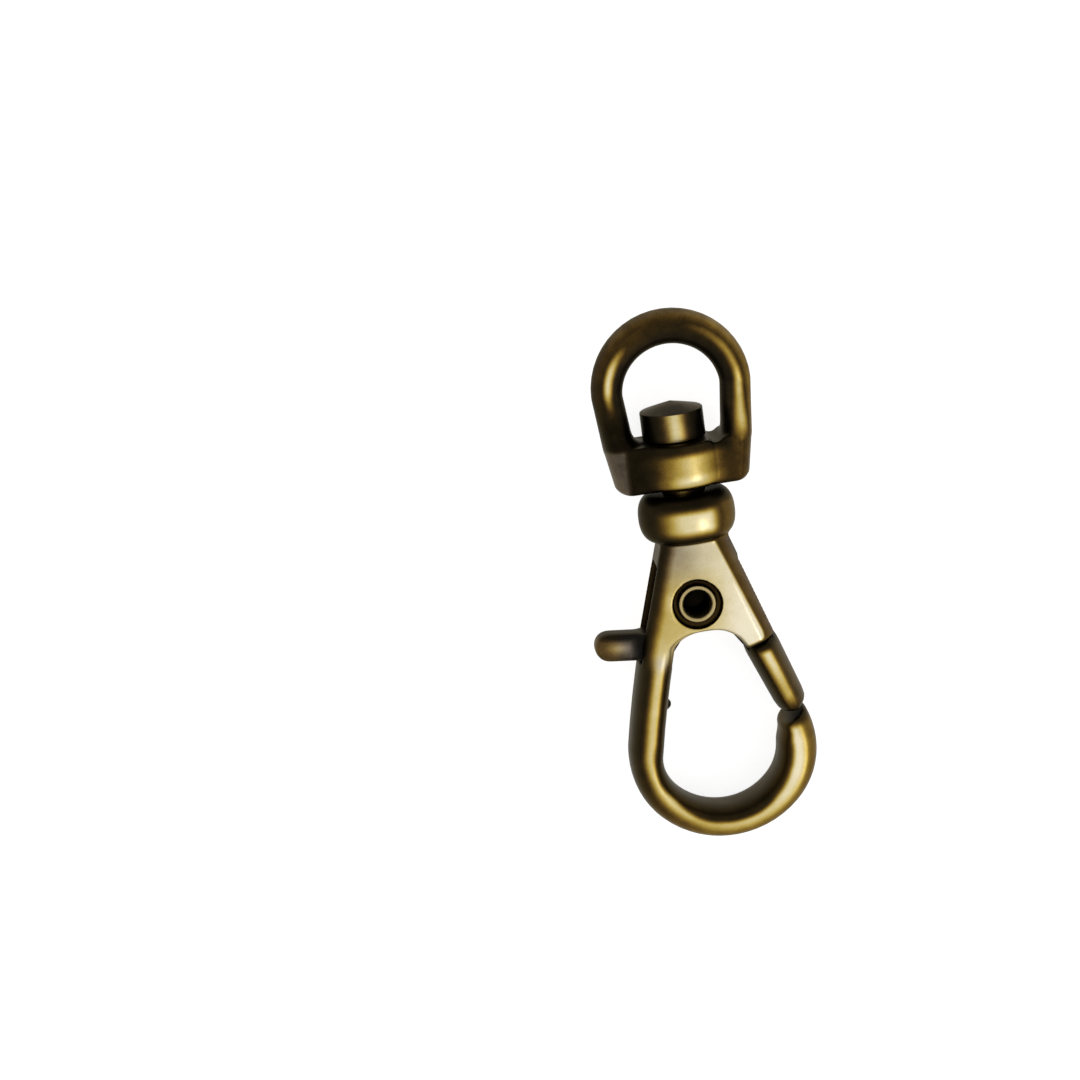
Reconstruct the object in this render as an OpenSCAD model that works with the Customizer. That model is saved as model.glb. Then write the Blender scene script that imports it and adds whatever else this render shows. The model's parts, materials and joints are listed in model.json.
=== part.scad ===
/* [Bow of the hook] */
// Height of the pivot above the centre of the bow
pivot_rise = 11.3; // [10.5:0.1:12.5]
// Sideways place of the pivot from the swivel axis
pivot_side = -0.25; // [-0.5:0.05:0]
// Half width of the bow, to the middle of its rod
bow_half_w = 5.35; // [5.1:0.05:5.7]
// Depth of the bow below its centre, to the middle of its rod
bow_drop = 4.9; // [4.6:0.05:5.05]
// Sideways place of the bow's centre from the swivel axis
bow_side = 0.35; // [0.2:0.05:0.5]
// Width of the rod at the bottom of the bow
rod_w = 2.3; // [2:0.05:2.6]
// Width of the rod in the spine
spine_w = 2.4; // [2.2:0.05:2.7]
// Width of the rod where it is thickest, below the nose
nose_w = 2.75; // [2.4:0.05:3]
// Depth by which the inner side of the nose is set in at its face
nose_set_in = 0.5; // [0.3:0.05:0.7]
// Front to back depth of the rod
rod_d = 4.9; // [4.2:0.1:5.4]
// Depth of the rounded sides of the rod, measured across it
rod_edge = 0.9; // [0.7:0.05:1.05]
// Angle by which the spine leans where it leaves the bow
spine_lean = 10.5; // [8:0.5:13]
// Angle by which the spine leans where it enters the cheeks
spine_lean_top = 17; // [15:0.5:19]

/* [Cheeks] */
// Height from the pivot to the underside of the collar
cheek_rise = 4.3; // [4:0.1:5]
// Right half width of the cheeks under the collar
cheek_right = 2.6; // [2.4:0.05:2.9]
// Slope of the right edge of the cheeks and of the gate
right_slope = 18.4; // [17:0.1:20]
// Thickness over both cheeks
cheek_d = 5.2; // [4.9:0.1:5.8]
// Thickness under the collar
cheek_top_d = 4.5; // [4:0.1:4.9]
// Width of the slot between the cheeks
slot_w = 2.6; // [2.3:0.05:2.8]
// Height of the slot above the pivot
slot_rise = 2.75; // [2.65:0.05:3.1]
// Width of the sloping side of the cheeks, on the right
cheek_edge = 1.15; // [0.8:0.05:1.4]
// Width of the rounded side of the cheeks, on the left
flank_edge = 1.45; // [1.1:0.05:1.6]
// Radius of the arch under the pivot
arch_r = 2.7; // [2.5:0.05:2.9]
// Length of the flat crown of the arch
arch_flat = 0.7; // [0.4:0.1:1.4]
// Distance of the cheeks' lower ends below the pivot, along the gate
cheek_reach = 4.55; // [4.2:0.05:4.8]

/* [Collar and stud] */
// Diameter of the collar bead
collar_dia = 6.8; // [6.2:0.1:7.4]
// Height of the collar bead
collar_h = 3.4; // [3:0.1:4]
// Diameter of the flat ends of the collar bead
collar_end_dia = 4.4; // [4:0.1:4.9]
// Diameter of the stud's shank
stud_dia = 2.9; // [2.4:0.1:3.3]
// Diameter of the stud's head
head_dia = 4.4; // [4:0.1:5]
// Height of the stud's head
head_h = 2; // [1.6:0.1:2.4]
// Height of the cone on top of the stud's head
head_cone = 0.6; // [0.4:0.05:0.7]
// Sideways place of the riveted head on its shank
head_side = -0.2; // [-0.25:0.05:0]
// Depth of the stud's shank in the collar
stud_grip = 2.6; // [1.8:0.1:3.2]

/* [Swivel eye] */
// Gap between the collar and the eye's base
neck_gap = 0.4; // [0.3:0.05:0.8]
// Height of the eye's base
base_h = 3.35; // [3:0.05:3.8]
// Half width of the base at its underside
base_half_w = 4.65; // [4.2:0.05:5]
// Diameter of the round boss in the middle of the base
boss_dia = 6.3; // [5.6:0.1:6.6]
// Front to back depth of the base beside the boss, and of the legs' feet
foot_d = 4.3; // [3.6:0.1:4.8]
// Radius of the fillet inside the left leg's foot
foot_fillet = 0.85; // [0.4:0.05:1]
// Height of the straight legs above the base
leg_h = 3.55; // [3.2:0.05:4.2]
// Width of the eye, to the middle of its rod
eye_w = 9; // [8.6:0.1:9.8]
// Diameter of the eye's rod
eye_rod = 2.2; // [1.9:0.05:2.3]
// Extra thickness of the eye's rod at its top
arch_extra = 0.3; // [0.1:0.05:0.4]
// Radius of the scoop beside the right leg
scoop_r = 0.6; // [0.4:0.05:0.7]

/* [Gate lever] */
// Distance of the gate's tip from the pivot
gate_reach = 10.62; // [10.2:0.02:10.8]
// Width of the gate at its shoulder
gate_w = 2.5; // [2.2:0.05:2.8]
// Width of the gate at its tip
gate_tip_w = 2.15; // [1.9:0.05:2.4]
// Front to back depth of the gate
gate_d = 4.9; // [4.3:0.1:5.2]
// Depth of the rounded sides of the gate, measured across it
gate_edge = 0.85; // [0.6:0.05:0.95]
// Radius of the hub under the pivot
hub_r = 2.1; // [2:0.05:2.2]
// Radius of the hub above the pivot
hub_top_r = 2.6; // [2.4:0.05:2.65]
// Distance of the thumb tab's tip from the pivot, sideways
tab_reach = 7.35; // [6.6:0.05:8.2]
// Drop of the thumb tab's middle below the pivot
tab_drop = 3.05; // [2.7:0.05:3.2]
// Width of the thumb tab
tab_w = 2; // [1.8:0.05:2.3]
// Angle by which the thumb tab rises outwards
tab_tilt = 6; // [2:0.5:9]

/* [Rivet] */
// Diameter of the rivet's shank
rivet_dia = 2.4; // [2.1:0.05:2.45]
// Diameter of the hollow in the rivet's end
rivet_hollow = 1.95; // [1.6:0.05:2]
// Diameter of the rolled rim and of the head
rim_dia = 2.75; // [2.7:0.05:3]
// Diameter of the recess round each end of the rivet
recess_dia = 3.5; // [3.3:0.05:3.8]
// Depth of the recess
recess_depth = 0.55; // [0.4:0.05:0.65]

/* [Spring] */
// Diameter of the spring's wire
wire_dia = 0.32; // [0.26:0.01:0.34]
// Radius of the spring's coil, to the middle of its wire
coil_r = 1.5; // [1.46:0.01:1.54]
// Length of the leg that bears on the gate
spring_leg = 3.1; // [2.6:0.1:3.4]

/* [Clearances] */
// Running clearance round each turning shaft
run_clear = 0.05; // [0.03:0.01:0.1]
// Clearance round each gripped shank
grip_clear = 0.02; // [0.01:0.01:0.04]
// Side clearance of the lever in its slot
slot_clear = 0.06; // [0.04:0.01:0.1]
// Gap between the gate and what it closes on
gate_gap = 0.12; // [0.08:0.01:0.2]

/* [Hidden] */
$fn = 96;

// Heights along the swivel axis, upwards from the centre of the bow
cheek_top = pivot_rise + cheek_rise;
collar_top = cheek_top + collar_h;
base_bottom = collar_top + neck_gap;
base_top = base_bottom + base_h;
arch_y = base_top + leg_h;
slot_top = pivot_rise + slot_rise;
pivot = [pivot_side, pivot_rise];

// Lean of the eye's legs
leg_lean = 0.1;

// The arch's place: to the right of the swivel axis, and with its crown under the pivot
arch_side = 0.2;
arch_drop = 2.22;

// Fine steps and small edges
overlap = 0.01;
end_round = 0.4;
profile_step = 11.25;
rod_land = 0.3;

// The outer edge of the cheeks and of the gate lies on one line, which falls to the right
function right_edge(y) = cheek_right + (cheek_top - y) * tan(right_slope);
gate_dir = [sin(right_slope), -cos(right_slope)];
gate_out = [cos(right_slope), sin(right_slope)];
function dot(a, b) = a.x * b.x + a.y * b.y;
function out(angle) = [cos(angle), sin(angle)];
// Where the outer edge passes the pivot, measured across and along the gate
edge_across = dot([right_edge(pivot.y), pivot.y] - pivot, gate_out);
function on_gate(along, across) = pivot + gate_dir * along + gate_out * across;

// One side of a section: upright over the land at the middle plane, then set in by edge at the faces.
// Power 2 is a quarter ellipse, and power 1 a plain chamfer.
function side_inset(t, edge, power) = edge * (1 - pow(max(0, 1 - pow(sin(t), power)), 1 / power));
function side(depth, edge, power, land = rod_land) = [
    for (t = [0:profile_step:90]) [side_inset(t, edge, power), land + (depth / 2 - land) * sin(t)]
];
function reversed(v) = [for (i = [len(v) - 1:-1:0]) v[i]];
// A closed section between two sides, the first at outer and the second at inner
function section(outer, inner, outer_side, inner_side) = concat(
    [for (q = reversed(outer_side)) [outer - q.x, -q.y]], [for (q = outer_side) [outer - q.x, q.y]],
    [for (q = reversed(inner_side)) [inner + q.x, q.y]], [for (q = inner_side) [inner + q.x, -q.y]]);

// A section stood on a point of the plan, across the direction of the angle
function ring(p, angle, sec) = [for (q = sec) [p.x + q.x * cos(angle), p.y + q.x * sin(angle), q.y]];

// A closed solid through rings of equal counts of points
module loft(rings) {
    n = len(rings[0]);
    last = len(rings) - 1;
    sides = [
        for (i = [0:last - 1], j = [0:n - 1])
            let (k = (j + 1) % n)
            [i * n + j, i * n + k, (i + 1) * n + k, (i + 1) * n + j]
    ];
    caps = [[for (j = [n - 1:-1:0]) j], [for (j = [0:n - 1]) last * n + j]];
    polyhedron(points = [for (r = rings) each r], faces = concat(sides, caps));
}

// The bow is three arcs: a flatter one at the bottom and a tighter one on each side
bottom_half_angle = 45;
radius_step = (bow_half_w - bow_drop) / (sin(bottom_half_angle) + cos(bottom_half_angle) - 1);
side_r = bow_drop - radius_step * (1 - cos(bottom_half_angle));
bottom_r = side_r + radius_step;
right_centre = [bow_side + bow_half_w - side_r, 0];
bottom_centre = [bow_side, radius_step * cos(bottom_half_angle)];
left_centre = [bow_side - bow_half_w + side_r, 0];
// The spine is a long arc that goes on from the left side up into the cheeks
spine_start = -180 - spine_lean;
spine_end = -180 - spine_lean_top;
spine_foot = left_centre + out(spine_start) * side_r;
spine_rise = pivot_rise - 1.6 - spine_foot.y;
spine_r = spine_rise / (sin(spine_lean_top) - sin(spine_lean));
spine_centre = spine_foot - out(spine_start) * spine_r;

// The left edge of the cheeks runs on from the spine's outer side, straight above its top end
spine_out_r = spine_r + spine_w / 2;
spine_top = spine_centre + out(spine_end) * spine_out_r;
function left_edge(y) = y < spine_top.y
    ? spine_centre.x - sqrt(spine_out_r * spine_out_r - pow(y - spine_centre.y, 2))
    : spine_top.x + (y - spine_top.y) * tan(spine_lean_top);

// The nose ends on a face that the gate's tip passes, with a small chamfer round it
nose_angle = 24;
face_turn = 10;
nose_chamfer = 0.18;
function smooth(s) = let (c = max(0, min(1, s))) c * c * (3 - 2 * c);
// Half widths of the rod at each angle of its way: it swells below the nose, and thins again to the face
function rod_half(angle) = angle < -180
    ? rod_w / 2 + (spine_w - rod_w) / 2 * smooth((-180 - angle) / spine_lean)
    : rod_w / 2;
function nose_extra(angle) = (nose_w - rod_w) * smooth((angle + 95) / 90);
function nose_in(angle) = nose_set_in * smooth((angle + 2) / (nose_angle + 2));
function rod_ring(centre, r, angle, turn = 0, chamfer = 0) =
    let (edge_side = side(rod_d - 2 * chamfer, rod_edge + 0.4 * nose_extra(angle), 2))
    ring(centre + out(angle) * r, angle + turn,
        section(rod_half(angle) + nose_extra(angle) / 2 - chamfer / 3,
            -rod_half(angle) - nose_extra(angle) / 2 + nose_in(angle) + chamfer, edge_side, edge_side));

module bow_and_spine() {
    loft([
        for (a = [spine_end:1.3:spine_start - 0.6]) rod_ring(spine_centre, spine_r, a),
        for (i = [0:9]) rod_ring(left_centre, side_r,
            spine_start + (-135 - spine_start) * i / 9),
        for (i = [1:15]) rod_ring(bottom_centre, bottom_r,
            -90 - bottom_half_angle + 2 * bottom_half_angle * i / 15),
        for (i = [1:12]) rod_ring(right_centre, side_r,
            -45 + (nose_angle + 43) * i / 12, face_turn * smooth(i / 12 - 0.6)),
        rod_ring(right_centre, side_r, nose_angle, face_turn * smooth(0.4), nose_chamfer)
    ]);
}

// The cheeks are one tapered block, which the slot, the arch and the lower ends are cut from
module cheek_block() {
    low = pivot_rise - cheek_reach;
    // At grow 0 the left side is the spine's own, and at 1 it is the full flank
    function grown(from, to, grow) = from + (to - from) * grow;
    function left_side(depth, grow) = side(depth, grown(rod_edge + 0.05, flank_edge + 0.05, grow), 2,
        grown(rod_land, slot_w / 2, grow));
    function cheek_ring(y, depth, grow = 1) = ring([0, y], 0, section(right_edge(y), left_edge(y),
        side(depth, cheek_edge, 1.12, slot_w / 2), left_side(depth, grow)));
    loft([
        cheek_ring(low - 0.1, rod_d - 0.02, 0),
        cheek_ring(low + 0.5, rod_d + (cheek_d - rod_d) * 0.2, 0.2),
        cheek_ring(low + 1.3, rod_d + (cheek_d - rod_d) * 0.65, 0.65),
        cheek_ring(low + 2.2, cheek_d),
        cheek_ring(pivot_rise + 1.2, cheek_d),
        cheek_ring(cheek_top + end_round, cheek_top_d)
    ]);
}

// The arch from its left foot over the crown to its right foot, widened by ease on the left
// foot, where it runs into the rounded spine, and by a third of that elsewhere
function arch_outline(ease) = let (r = arch_r - arch_flat / 2, foot = -2 * arch_r)
    concat(
        [[-arch_r - ease, foot]],
        [for (a = [180:-10:90]) let (part = (1 + 2 * smooth((a - 90) / 90)) / 3)
            [-arch_flat / 2, 0] + out(a) * (r + ease * part)],
        [for (a = [90:-10:0]) [arch_flat / 2, 0] + out(a) * (r + ease / 3)],
        [[arch_r + ease / 3, foot]]);

module arch_cut() {
    steps = [0, 25, 45, 60, 72, 82, 90];
    function height(t) = rod_land + (rod_d / 2 - rod_land) * sin(t);
    levels = concat([[-cheek_d, rod_edge]],
        [for (t = reversed(steps)) [-height(t), side_inset(t, rod_edge, 2)]],
        [for (t = steps) [height(t), side_inset(t, rod_edge, 2)]], [[cheek_d, rod_edge]]);
    translate([arch_side, pivot_rise - arch_drop - arch_r + arch_flat / 2, 0])
        loft([for (v = levels) [for (q = arch_outline(v.y)) [q.x, q.y, v.x]]]);
}

// The arch and the ends of both cheeks, cut right through
module below_the_cheeks() {
    arch_cut();
    a = on_gate(cheek_reach, edge_across + 2);
    b = on_gate(cheek_reach, edge_across - 3.2);
    translate([0, 0, -cheek_d]) linear_extrude(2 * cheek_d)
        polygon([a, b, [b.x, b.y - 4], [a.x, b.y - 4]]);
}

// The thumb tab's end is a little above its middle, and the slot's left mouth follows its underside
tab_root = pivot_side - 2.45;
tab_rise = 0.4;
tab_end = [pivot_side - tab_reach + tab_w / 2, pivot_rise - tab_drop + tab_rise];
function tab_low(x) = tab_end.y - tab_w / 2 / cos(tab_tilt) - (x - tab_end.x) * tan(tab_tilt);

module slot_between_cheeks() {
    left = left_edge(pivot_rise - cheek_reach) - 1;
    right = right_edge(pivot_rise - cheek_reach) + 2;
    low = tab_low(tab_root) - gate_gap;
    translate([0, 0, -slot_w / 2]) linear_extrude(slot_w) polygon([
        [left, slot_top], [right, slot_top], [right, low - 3], [0, low - 3], [tab_root, low],
        [left, tab_low(left) - gate_gap]
    ]);
}

// A bead with rounded shoulders, turned about the swivel axis
module collar_bead() {
    end_r = collar_end_dia / 2;
    bulge = collar_dia / 2 - end_r;
    half = collar_h / 2;
    fullness = 2.4;
    function radius(t) = end_r + bulge * pow(max(0, 1 - pow(abs(sin(t)), fullness)), 1 / fullness);
    translate([0, cheek_top + half, 0]) rotate([-90, 0, 0]) rotate_extrude() polygon(concat(
        [[0, -half]],
        [for (t = [-90:10:90]) [radius(t), half * sin(t)]],
        [[0, half]]));
}

module rivet_seat() {
    translate([pivot.x, pivot.y, -cheek_d]) cylinder(d = rivet_dia + 2 * grip_clear, h = 2 * cheek_d);
    for (side = [-1, 1])
        translate([pivot.x, pivot.y, side * (cheek_d / 2 - recess_depth / 2 + overlap)])
            cylinder(d = recess_dia, h = recess_depth + 2 * overlap, center = true);
}

// The spring's fixed leg stands in a small hole in the roof of the slot
spring_z_low = slot_w / 2 - slot_clear - wire_dia / 2 - 0.66;
spring_turn = 680;
spring_pitch = wire_dia + 0.02;
spring_z_top = spring_z_low + spring_pitch * spring_turn / 360;
leg_hole_depth = 0.55;

module hook_body() {
    nib = left_centre + [-side_r + rod_w / 2 + 0.72, 3.9];
    color("#8f7c47") difference() {
        union() {
            bow_and_spine();
            difference() {
                cheek_block();
                below_the_cheeks();
            }
            collar_bead();
            translate([nib.x, nib.y, 0]) sphere(r = 0.42);
        }
        slot_between_cheeks();
        rivet_seat();
        translate([0, collar_top + overlap, 0]) rotate([90, 0, 0])
            cylinder(d = stud_dia + 2 * grip_clear, h = stud_grip + grip_clear + overlap);
        translate([pivot.x + coil_r, slot_top - overlap, spring_z_top]) rotate([-90, 0, 0])
            cylinder(d = wire_dia + 2 * run_clear, h = leg_hole_depth + overlap);
    }
}

// The gate proper is full depth below the cheeks, and rounds off at its tip
module gate_arm() {
    start = cheek_reach + gate_gap;
    tip = gate_reach * 0.999;
    function width(s) = gate_w + (gate_tip_w - gate_w) * (s - start) / (tip - start);
    function arm_ring(s, inset, depth) = ring(on_gate(s, edge_across), right_slope,
        section(-inset, -width(s) + inset, side(depth, gate_edge - 0.6 * inset, 1.3),
            side(depth, gate_edge - 0.6 * inset, 1.6)));
    across = edge_across - gate_tip_w / 2;
    end = sqrt(tip * tip - across * across);
    loft([
        arm_ring(end, 0.42, gate_d - 1),
        arm_ring(end - 0.1, 0.2, gate_d - 0.5),
        arm_ring(end - 0.35, 0.06, gate_d - 0.15),
        arm_ring(end - 0.9, 0, gate_d),
        arm_ring(start + 0.7, 0, gate_d),
        arm_ring(start + 0.25, 0.05, gate_d - 0.15),
        arm_ring(start, 0.15, gate_d - 0.6)
    ]);
}

module thumb_tab(depth) {
    r = tab_w / 2;
    translate(tab_end) rotate(-tab_tilt) {
        cylinder(r = r, h = depth, center = true);
        translate([0, -r, -depth / 2]) cube([tab_root - tab_end.x, tab_w, depth]);
    }
}

module gate_lever() {
    depth = slot_w - 2 * slot_clear;
    foot = cheek_reach + gate_gap + 1.2;
    pocket_floor = spring_z_low - wire_dia / 2 - 0.06;
    leg_from = pivot + out(40) * coil_r;
    color("#7d6b3c") difference() {
        union() {
            gate_arm();
            thumb_tab(depth);
            translate([pivot.x, pivot.y, -depth / 2]) cylinder(r = hub_r, h = depth);
            translate([0, 0, -depth / 2]) linear_extrude(depth) difference() {
                union() {
                    polygon([
                        pivot + out(215) * hub_r, pivot + out(100) * hub_r,
                        on_gate(0.4, edge_across - 0.25), on_gate(foot, edge_across - 0.25),
                        on_gate(foot, edge_across - gate_w + 0.3),
                        on_gate(cheek_reach, edge_across - gate_w + 0.1),
                        pivot + [2.2, -2.6], pivot + [0.9, -hub_r + 0.02], pivot + out(270) * hub_r
                    ]);
                    polygon([
                        pivot + out(150) * hub_r, pivot + out(250) * hub_r,
                        pivot + [-2.4, -tab_drop - 1], pivot + [-3.2, -tab_drop + 1.1]
                    ]);
                    intersection() {
                        translate(pivot) circle(r = hub_top_r);
                        translate(pivot + [-3, 0]) square([6, 3]);
                    }
                }
            }
        }
        translate([pivot.x, pivot.y, -depth]) cylinder(d = rivet_dia + 2 * run_clear, h = 2 * depth);
        translate([pivot.x, pivot.y, pocket_floor]) cylinder(r = coil_r + wire_dia / 2 + 0.12, h = depth);
        // Room for the fixed leg while the lever turns round it
        translate([pivot.x - 1.2, pivot.y + 0.2, pocket_floor]) cube([3, 3, depth]);
        // Groove for the leg that bears on the gate
        translate([leg_from.x, leg_from.y, pocket_floor]) rotate(-50)
            translate([0, -wire_dia / 2 - 0.05, 0]) cube([spring_leg + 0.15, wire_dia + 0.1, depth]);
    }
}

// Points along the wire, each with the angle of the side that faces out of the coil
module torsion_spring() {
    turn_steps = 40;
    leg_end = slot_top + leg_hole_depth - 0.1;
    leg_way = out(-50);
    tangent = out(40) * coil_r;
    way = concat(
        [for (s = [0:3]) [[pivot.x + coil_r, leg_end + (pivot.y - leg_end) * s / 4, spring_z_top], 0]],
        [for (i = [0:turn_steps]) let (a = -spring_turn * i / turn_steps, p = pivot + out(a) * coil_r)
            [[p.x, p.y, spring_z_top + spring_pitch * a / 360], a]],
        [for (s = [1:4]) [[pivot.x + tangent.x + leg_way.x * spring_leg * s / 4,
            pivot.y + tangent.y + leg_way.y * spring_leg * s / 4, spring_z_low], 40]]);
    color("#9a9a9e") loft([
        for (w = way) [
            for (t = [0:45:315]) w[0] + wire_dia / 2 * [cos(t) * cos(w[1]), cos(t) * sin(w[1]), -sin(t)]
        ]
    ]);
}

// A half hollow rivet: a low head at the back and a rim rolled outwards at the front
module pivot_rivet() {
    r = rivet_dia / 2;
    hollow = rivet_hollow / 2;
    rim = rim_dia / 2;
    seat = cheek_d / 2 - recess_depth;
    proud = recess_depth - 0.08;
    lip = (rim - hollow) / 2;
    blind = 0.9;
    color("#a8955c") translate([pivot.x, pivot.y, 0]) rotate_extrude() polygon(concat(
        [[0, -seat - proud], [rim - 0.25, -seat - proud], [rim, -seat - proud + 0.2],
            [rim, -seat - grip_clear], [r, -seat - grip_clear], [r, seat + grip_clear],
            [rim, seat + grip_clear]],
        [for (t = [0:15:180]) [rim - lip + lip * cos(t), seat + proud - lip + lip * sin(t)]],
        [[hollow, -blind + 0.3], [0, -blind]]));
}

// The stud's end is riveted over the seat into a head, a little off its shank, with a turned cone on top
module swivel_stud() {
    low = collar_top - stud_grip;
    seat = base_top + run_clear;
    r = head_dia / 2;
    color("#6f6238") {
        rotate([-90, 0, 0]) rotate_extrude() polygon([
            [0, low], [stud_dia / 2 - 0.2, low], [stud_dia / 2, low + 0.2], [stud_dia / 2, seat + 0.5],
            [0, seat + 0.5]
        ]);
        translate([head_side, 0, 0]) rotate([-90, 0, 0]) rotate_extrude() polygon([
            [0, seat], [r - 0.06, seat], [r, seat + 0.06], [r, seat + head_h - 0.1],
            [r - 0.08, seat + head_h], [0, seat + head_h + head_cone]
        ]);
    }
}

// A plan of the base beside the boss at one height: straight sides and rounded ends
function base_ring(y, half_w, inset) = let (r = eye_rod / 2) [
    for (t = [0:15:345])
        [(half_w - r) * sign(cos(t)) + (r - inset) * cos(t), y, (foot_d / 2 - inset) * sin(t)]
];

// The base is a flat bar from leg to leg with a round boss, whose lower edge is bevelled
module eye_base() {
    top_half_w = eye_w / 2 + eye_rod / 2 - leg_h * leg_lean;
    slope = (top_half_w - base_half_w) / base_h;
    boss_r = boss_dia / 2;
    loft([
        base_ring(base_bottom, base_half_w, 0.4),
        base_ring(base_bottom + 0.12, base_half_w + 0.12 * slope, 0.18),
        base_ring(base_bottom + end_round, base_half_w + end_round * slope, 0),
        base_ring(base_top, top_half_w, 0)
    ]);
    rotate([-90, 0, 0]) rotate_extrude() polygon([
        [0, base_bottom], [boss_r - 0.65, base_bottom], [boss_r - 0.25, base_bottom + 0.25],
        [boss_r - 0.06, base_bottom + 0.65], [boss_r, base_bottom + 1.1], [boss_r, base_top - 0.2],
        [boss_r - 0.15, base_top], [0, base_top]
    ]);
}

// The eye's loop is one rod: a leg that leans out from the base, the arch, and the other leg.
// The legs swell front to back and inwards to their feet, and the arch grows thicker up to its top.
function fillet_at(side, h) = let (r = side < 0 ? foot_fillet : foot_fillet / 3, up = min(max(h, 0), r))
    r - sqrt(r * r - (r - up) * (r - up));
function leg_ring(side, h) = let (r = eye_rod / 2, s = h / leg_h, inner_r = r + fillet_at(side, h),
    swell = (foot_d - eye_rod) / 2 * pow(1 - max(s, 0), 1.4))
    [for (t = [0:15:345])
        [side * (eye_w / 2 - leg_lean * leg_h * (1 - s) + (cos(t) < 0 ? inner_r : r) * cos(t)), base_top + h,
            (r + swell) * sin(t)]];
function arch_ring(a) = let (extra = arch_extra / 2 * sin(a), r = eye_rod / 2 + extra) [
    for (t = [0:15:345]) let (reach = eye_w / 2 - extra + r * cos(t))
        [reach * cos(a), arch_y + reach * sin(a), r * sin(t)]
];

module eye_loop() {
    up = [-0.4, 0.02, 0.1, 0.25, 0.5, foot_fillet, 0.5 * leg_h, 0.8 * leg_h];
    loft([
        for (h = up) leg_ring(1, h),
        for (a = [0:7.5:180]) arch_ring(a),
        for (h = reversed(up)) leg_ring(-1, h)
    ]);
}

module swivel_eye() {
    color("#7a6a3d") difference() {
        union() {
            eye_loop();
            eye_base();
        }
        translate([eye_w / 2 - eye_rod / 2 - leg_h * leg_lean - scoop_r + 0.05, base_top + 0.25, -boss_dia])
            cylinder(r = scoop_r, h = 2 * boss_dia);
        translate([0, base_top + 1, 0]) rotate([90, 0, 0])
            cylinder(d = stud_dia + 2 * run_clear, h = base_h + 2);
    }
}

hook_body();
gate_lever();
torsion_spring();
pivot_rivet();
swivel_stud();
swivel_eye();
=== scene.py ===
"""Looks of a swivel snap hook in antique brass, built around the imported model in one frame."""

import json
import math

import bmesh
import bpy
import numpy as np
from mathutils import Matrix, Vector


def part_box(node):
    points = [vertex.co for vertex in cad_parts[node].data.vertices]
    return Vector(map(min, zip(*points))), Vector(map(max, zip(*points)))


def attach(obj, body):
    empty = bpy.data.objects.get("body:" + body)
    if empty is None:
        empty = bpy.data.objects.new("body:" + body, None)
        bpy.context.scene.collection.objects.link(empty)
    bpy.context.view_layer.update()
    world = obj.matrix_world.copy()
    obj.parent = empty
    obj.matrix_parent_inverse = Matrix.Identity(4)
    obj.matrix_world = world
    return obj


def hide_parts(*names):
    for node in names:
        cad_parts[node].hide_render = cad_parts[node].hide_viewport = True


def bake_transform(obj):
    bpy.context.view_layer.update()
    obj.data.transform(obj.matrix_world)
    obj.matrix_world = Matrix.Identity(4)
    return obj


# All sizes are in millimetres, and MM turns them into Blender's metres
MM = 0.001
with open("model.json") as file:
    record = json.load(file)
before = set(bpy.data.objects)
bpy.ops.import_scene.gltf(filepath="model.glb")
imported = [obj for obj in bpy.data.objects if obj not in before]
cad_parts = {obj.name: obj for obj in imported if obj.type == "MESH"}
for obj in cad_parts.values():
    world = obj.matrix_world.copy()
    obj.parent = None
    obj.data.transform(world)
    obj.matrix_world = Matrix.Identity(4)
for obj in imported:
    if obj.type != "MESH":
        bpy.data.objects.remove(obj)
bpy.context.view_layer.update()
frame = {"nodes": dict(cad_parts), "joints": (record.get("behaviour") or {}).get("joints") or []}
joints = {j["name"]: j for j in frame["joints"]}


def box_mm(node):
    """The lowest and highest corners of a solid, in millimetres."""
    low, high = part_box(node)
    return np.array(low) / MM, np.array(high) / MM


PIVOT = np.array(joints["gate_pivot"]["pos_m"]) / MM
HOOK_LOW, HOOK_HIGH = box_mm("hook_body")
EYE_LOW, _ = box_mm("swivel_eye")
STUD_LOW, STUD_HIGH = box_mm("swivel_stud")
RIVET_LOW, RIVET_HIGH = box_mm("pivot_rivet")
SPRING_LOW, SPRING_HIGH = box_mm("torsion_spring")

# Heights along the swivel axis, given ones and those set from the solids' boxes
COLLAR_H = 3.4
CHEEK_TOP = HOOK_HIGH[1] - COLLAR_H
BASE_H = 3.35
BASE_TOP = EYE_LOW[1] + BASE_H
LEG_H = 3.55
ARCH_Y = BASE_TOP + LEG_H

# The bow's arcs, the spine's arc and the straight right edge, as the part builds them
BOW_SIDE, BOW_HALF_W, BOW_DROP, ROD_HALF = 0.35, 5.35, 4.9, 1.15
ARC_STEP = (BOW_HALF_W - BOW_DROP) / (math.sqrt(2) - 1)
SIDE_R = BOW_DROP - ARC_STEP * (1 - math.sqrt(0.5))
BOTTOM_R = SIDE_R + ARC_STEP
SPINE_CENTRE, SPINE_R = np.array([74.23, -13.83]), 80.5
SPINE_TOP_Y, SPINE_LEAN = 10.06, math.tan(math.radians(17))
RIGHT_LEAN = math.radians(18.4)
CHEEK_RIGHT = 2.6

# The gate's arm from the pivot on, and the thumb tab's round end with its half depth
ARM_FOOT, ARM_W, ARM_TAPER = 4.7, 2.5, 0.06
TAB_MIDDLE = PIVOT[:2] + np.array([-6.35, -2.65])
TAB_RISE = math.radians(6)
TAB_HALF_D = 1.24

# The eye's legs and loop, and how far the stud's head sits to the side
LEG_LEAN, LOOP_R = 0.1, 4.5
HEAD_SIDE = -0.2

# Fineness of the skins: the edge of one voxel
HOOK_VOXEL = 0.0985
GATE_VOXEL = 0.062
EYE_VOXEL = 0.085

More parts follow.
